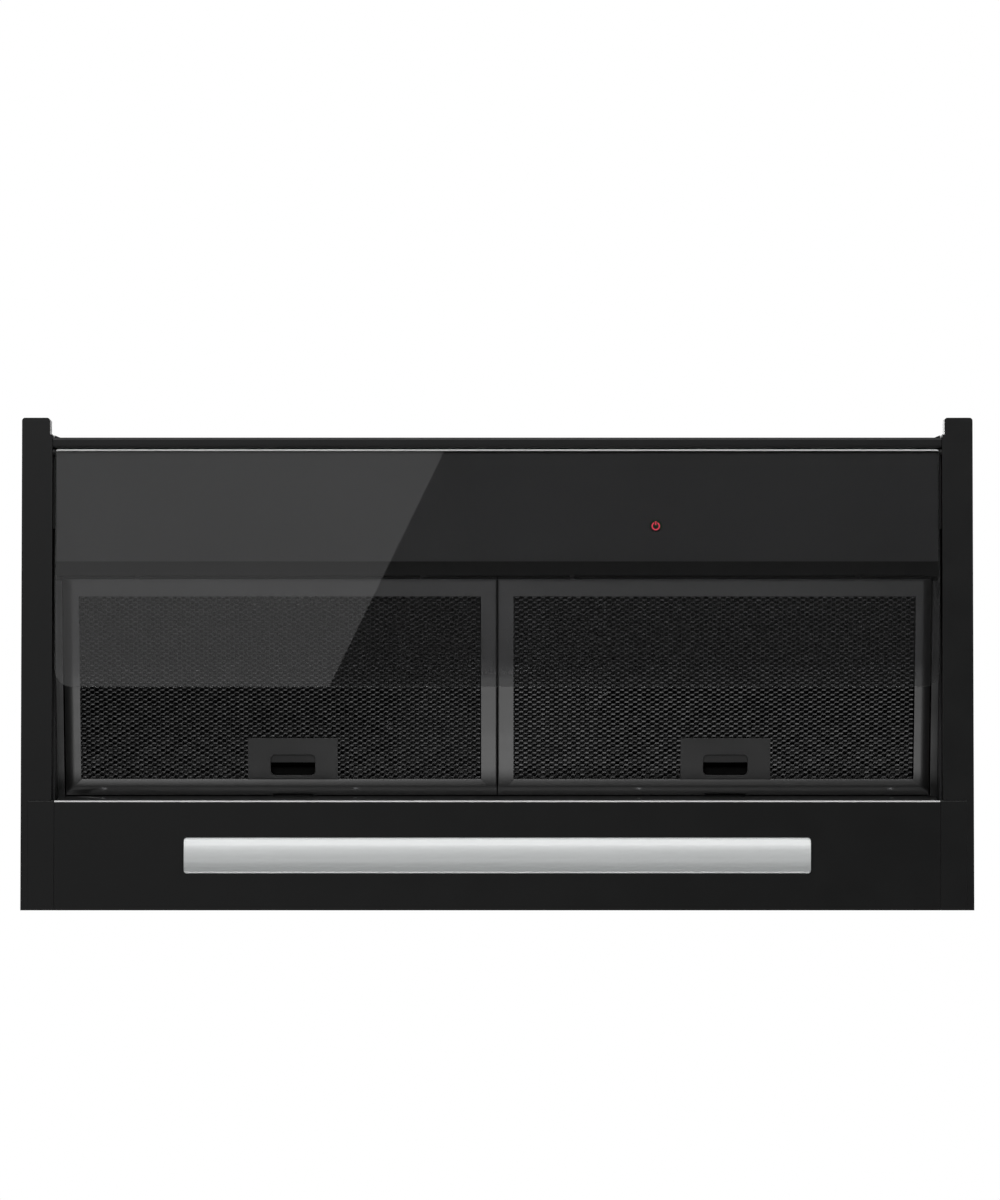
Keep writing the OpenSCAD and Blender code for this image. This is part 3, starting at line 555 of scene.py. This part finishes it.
def mitred_frame(f, side, body):
    """A ring of four members, level by the mesh and sloping at the rims.

    The rear one is rolled up along its inner edge, which leaves a mitre line at each of its ends.
    """
    ix, iy0, iy1 = f.width / 2 - MEMBER_X, f.front + MEMBER_Y, f.rear - MEMBER_Y
    outer = -1 if side == "left" else 1
    z0, z1 = -FILTER_HALF_T, FILTER_HALF_T
    # Level share of the width and drop at the rim: sides by the sign of x, ends by the sign of y
    sides = {outer: (0.42, 1.25 * MM), -outer: (0.97, 0.2 * MM)}
    ends = {-1: (0.9, 0.3 * MM), 1: (0.42, 2.7 * MM)}
    rows = [0, 0.07, 0.14, 0.21, 0.28, 0.35, 0.42, 0.5, 0.6, 0.7, 0.8, 0.9, 0.95, 1]
    steps = 6

    def slope(profile, q):
        flat, drop = profile
        k = max(0, (q - flat) / (1 - flat))
        return drop * k * k * (1.6 - 0.6 * k)

    def roll(t):
        return 0.9 * MM * max(0, 1 - t / 0.42) ** 2

    bm = bmesh.new()

    def column(sx, sy, t, u, v, rolled):
        """Lower and upper corner, u and v of the way out from the window on sides sx and sy."""
        x, y = sx * (ix + u * MEMBER_X), (iy1 if sy > 0 else iy0) + sy * v * MEMBER_Y
        low = z0 + max(slope(sides[sx], u), slope(ends[sy], v)) + (roll(t) if rolled else 0)
        return bm.verts.new((x, y, low)), bm.verts.new((x, y, z1))

    # Steps from one mitre to the member's middle, then on to the other mitre
    walk = [(-1, s) for s in range(steps, -1, -1)] + [(1, s) for s in range(steps + 1)]
    grids = [[[column(sx, sy, t, t * s / steps, t, sy > 0) for sx, s in walk] for t in rows]
             for sy in (-1, 1)]
    grids += [[[column(sx, sy, t, t, t * s / steps, False) for sy, s in walk] for t in rows]
              for sx in (-1, 1)]
    for grid in grids:
        for a, b in zip(grid, grid[1:]):
            for i in range(len(a) - 1):
                for level in (0, 1):
                    bm.faces.new([a[i][level], a[i + 1][level], b[i + 1][level], b[i][level]])
        for row in (grid[0], grid[-1]):
            for i in range(len(row) - 1):
                bm.faces.new([row[i][0], row[i + 1][0], row[i + 1][1], row[i][1]])
    # The step between the rolled rear member and each side member
    for k, t in enumerate(rows[1:]):
        if roll(rows[k]) > 0:
            for rear_end, grid in ((0, grids[2]), (-1, grids[3])):
                bm.faces.new([grids[1][k][rear_end][0], grids[1][k + 1][rear_end][0],
                              grid[k + 1][-1][0], grid[k][-1][0]])
    bmesh.ops.remove_doubles(bm, verts=bm.verts, dist=0.001 * MM)
    obj = add_piece("mitred_frame_" + side, bm, body, "frame", f.place, smooth=False)
    crease = obj.modifiers.new("bevel", "BEVEL")
    crease.width, crease.segments = 0.12 * MM, 2
    crease.limit_method, crease.angle_limit = "ANGLE", math.radians(40)
    for p in obj.data.polygons:
        p.use_smooth = True
    flats = obj.modifiers.new("flats", "WEIGHTED_NORMAL")
    flats.weight = 100
    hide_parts("filter_frame_" + side)


def latch(f, side, body):
    """Pressed plate round a finger slot with a rolled lip, and the pocket behind it, painted near-black and
    almost without gloss as the shade in the slot.
    """
    y_top, w, l = f.rear - MEMBER_Y - 0.05 * MM, f.plate_w, PLATE_L
    z0, z1 = -FILTER_HALF_T + 0.2 * MM, -FILTER_HALF_T + 0.95 * MM
    slot_w, slot_l, r = 28 * MM, 13.4 * MM, 3 * MM
    cy = y_top - 2.35 * MM - slot_l / 2
    corner = 10
    hole = []
    for qx, qy, start in ((1, 1, 0), (-1, 1, 90), (-1, -1, 180), (1, -1, 270)):
        for k in range(corner + 1):
            a = math.radians(start + 90 * k / corner)
            hole.append((qx * (slot_w / 2 - r) + r * math.cos(a),
                         cy + qy * (slot_l / 2 - r) + r * math.sin(a)))
    n = len(hole)
    x0, x1, y0, y1 = -w / 2, w / 2, y_top - l, y_top
    bm = bmesh.new()
    # Outer ring points lie opposite the hole's, so each band is a clean strip of quads
    outer = []
    for x, y in hole:
        dx, dy = x, y - cy
        tx = (x1 if dx > 0 else x0) / dx if abs(dx) > 1e-9 else 1e9
        ty = ((y1 if dy > 0 else y0) - cy) / dy if abs(dy) > 1e-9 else 1e9
        t = min(tx, ty)
        outer.append((dx * t, cy + dy * t))
    for cx_, cy_ in ((x1, y1), (x0, y1), (x0, y0), (x1, y0)):
        k = min(range(n), key=lambda i: (outer[i][0] - cx_) ** 2 + (outer[i][1] - cy_) ** 2)
        outer[k] = (cx_, cy_)
    normals = []
    for x, y in hole:
        qx = 1 if x > 0 else -1
        qy = 1 if y > cy else -1
        v = Vector((x - qx * (slot_w / 2 - r), y - (cy + qy * (slot_l / 2 - r))))
        v.normalize()
        normals.append((v.x, v.y))

    def inset(points, d):
        return [(x + (d if x < 0 else -d) * (abs(abs(x) - w / 2) < 1e-6),
                 y + (d if abs(y - y0) < 1e-6 else -d if abs(y - y1) < 1e-6 else 0)) for x, y in points]

    def grown(d):
        return [(x + d * nx, y + d * ny) for (x, y), (nx, ny) in zip(hole, normals)]

    e, lip = 0.15 * MM, 0.45 * MM
    rings = [(inset(outer, 0), z1), (inset(outer, 0), z0 + e), (inset(outer, e), z0),
             (grown(1.3 * MM), z0), (grown(0.9 * MM), z0 + 0.10 * MM), (grown(0.55 * MM), z0 + 0.05 * MM),
             (grown(0.25 * MM), z0), (grown(0.08 * MM), z0 + 0.12 * MM), (hole, z0 + lip),
             (hole, z1 + 0.9 * MM), (grown(0.35 * MM), z1 + 0.9 * MM), (grown(0.35 * MM), z1)]
    loops = [[bm.verts.new((x, y, z)) for x, y in pts] for pts, z in rings]
    loops.append(loops[0])
    for a, b in zip(loops, loops[1:]):
        for i in range(n):
            j = (i + 1) % n
            bm.faces.new([a[i], b[i], b[j], a[j]])
    place = f.place @ Matrix.Translation((f.plate_x, 0, 0))
    plate = add_piece("latch_surround_" + side, bm, body, "latch", place)
    flats = plate.modifiers.new("flats", "WEIGHTED_NORMAL")
    flats.weight = 100
    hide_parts("latch_plate_" + side)

    # Pocket: an open-bottomed box behind the plate, painted near-black as the shade in the slot
    bm = bmesh.new()
    px, py0, py1, top, t = w / 2 - 2 * MM, y0 + 2 * MM, y1, FILTER_HALF_T + 1 * MM, 1.2 * MM
    rings = [(px, py0, py1, z1 + 0.02 * MM), (px, py0, py1, top), (px - t, py0 + t, py1 - t, top - t),
             (px - t, py0 + t, py1 - t, z1 + 0.02 * MM)]
    loops = [[bm.verts.new((x, y, z)) for x, y in ((-a, b), (a, b), (a, c), (-a, c))]
             for a, b, c, z in rings]
    for i in range(4):
        j = (i + 1) % 4
        bm.faces.new([loops[0][i], loops[0][j], loops[1][j], loops[1][i]])
        bm.faces.new([loops[2][i], loops[2][j], loops[3][j], loops[3][i]])
        bm.faces.new([loops[3][i], loops[3][j], loops[0][j], loops[0][i]])
    bm.faces.new(loops[1])
    bm.faces.new(loops[2][::-1])
    add_piece("latch_pocket_" + side, bm, body, "pocket", place, smooth=False)


for side in SIDES:
    f = Filter(side)
    body = "filter_" + side
    mitred_frame(f, side, body)
    latch(f, side, body)
    skew = 0.07 if side == "left" else 0
    weave = expanded_metal(f, "expanded_metal_" + side, body, "mesh", -3.0 * MM, 5.55 * MM, 3.13 * MM,
                           0.04, (0.26 * MM, skew * MM), 0.22 * MM, (1.42 * MM, 0.40 * MM),
                           0.0 if side == "left" else 1.7)
    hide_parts("filter_mesh_" + side)
    # The inner layer takes the darker, painted-shade copy of the mesh finish
    expanded_metal(f, "inner_layer_" + side, body, "mesh_inner", -1.7 * MM, 7.4 * MM, 4.1 * MM,
                   -0.6, (0, 0), 0.28 * MM, (2.3 * MM, 1.0 * MM), 3.1)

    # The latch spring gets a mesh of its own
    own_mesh(nodes["latch_spring_" + side])


# ---------- floor ----------

floor_mesh = bpy.data.meshes.new("studio_floor")
FLOOR_Z, FLOOR_R = -5.0, 80.0
floor_mesh.from_pydata([(-FLOOR_R, -FLOOR_R, FLOOR_Z), (FLOOR_R, -FLOOR_R, FLOOR_Z),
                        (FLOOR_R, FLOOR_R, FLOOR_Z), (-FLOOR_R, FLOOR_R, FLOOR_Z)], [], [(0, 1, 2, 3)])
floor = bpy.data.objects.new("studio_floor", floor_mesh)
bpy.context.scene.collection.objects.link(floor)
floor_mat, floor_nt, floor_shader, floor_out = tree("pale_floor")
floor_shader.inputs["Base Color"].default_value = (0.31, 0.31, 0.305, 1)
floor_shader.inputs["Roughness"].default_value = 0.9
floor_glow = floor_nt.nodes.new("ShaderNodeEmission")
floor_glow.inputs["Color"].default_value = (0.965, 0.965, 0.96, 1)
floor_nt.links.new(seen_directly(floor_nt, floor_shader.outputs[0], floor_glow.outputs[0]),
                   floor_out.inputs["Surface"])
floor_mesh.materials.append(floor_mat)
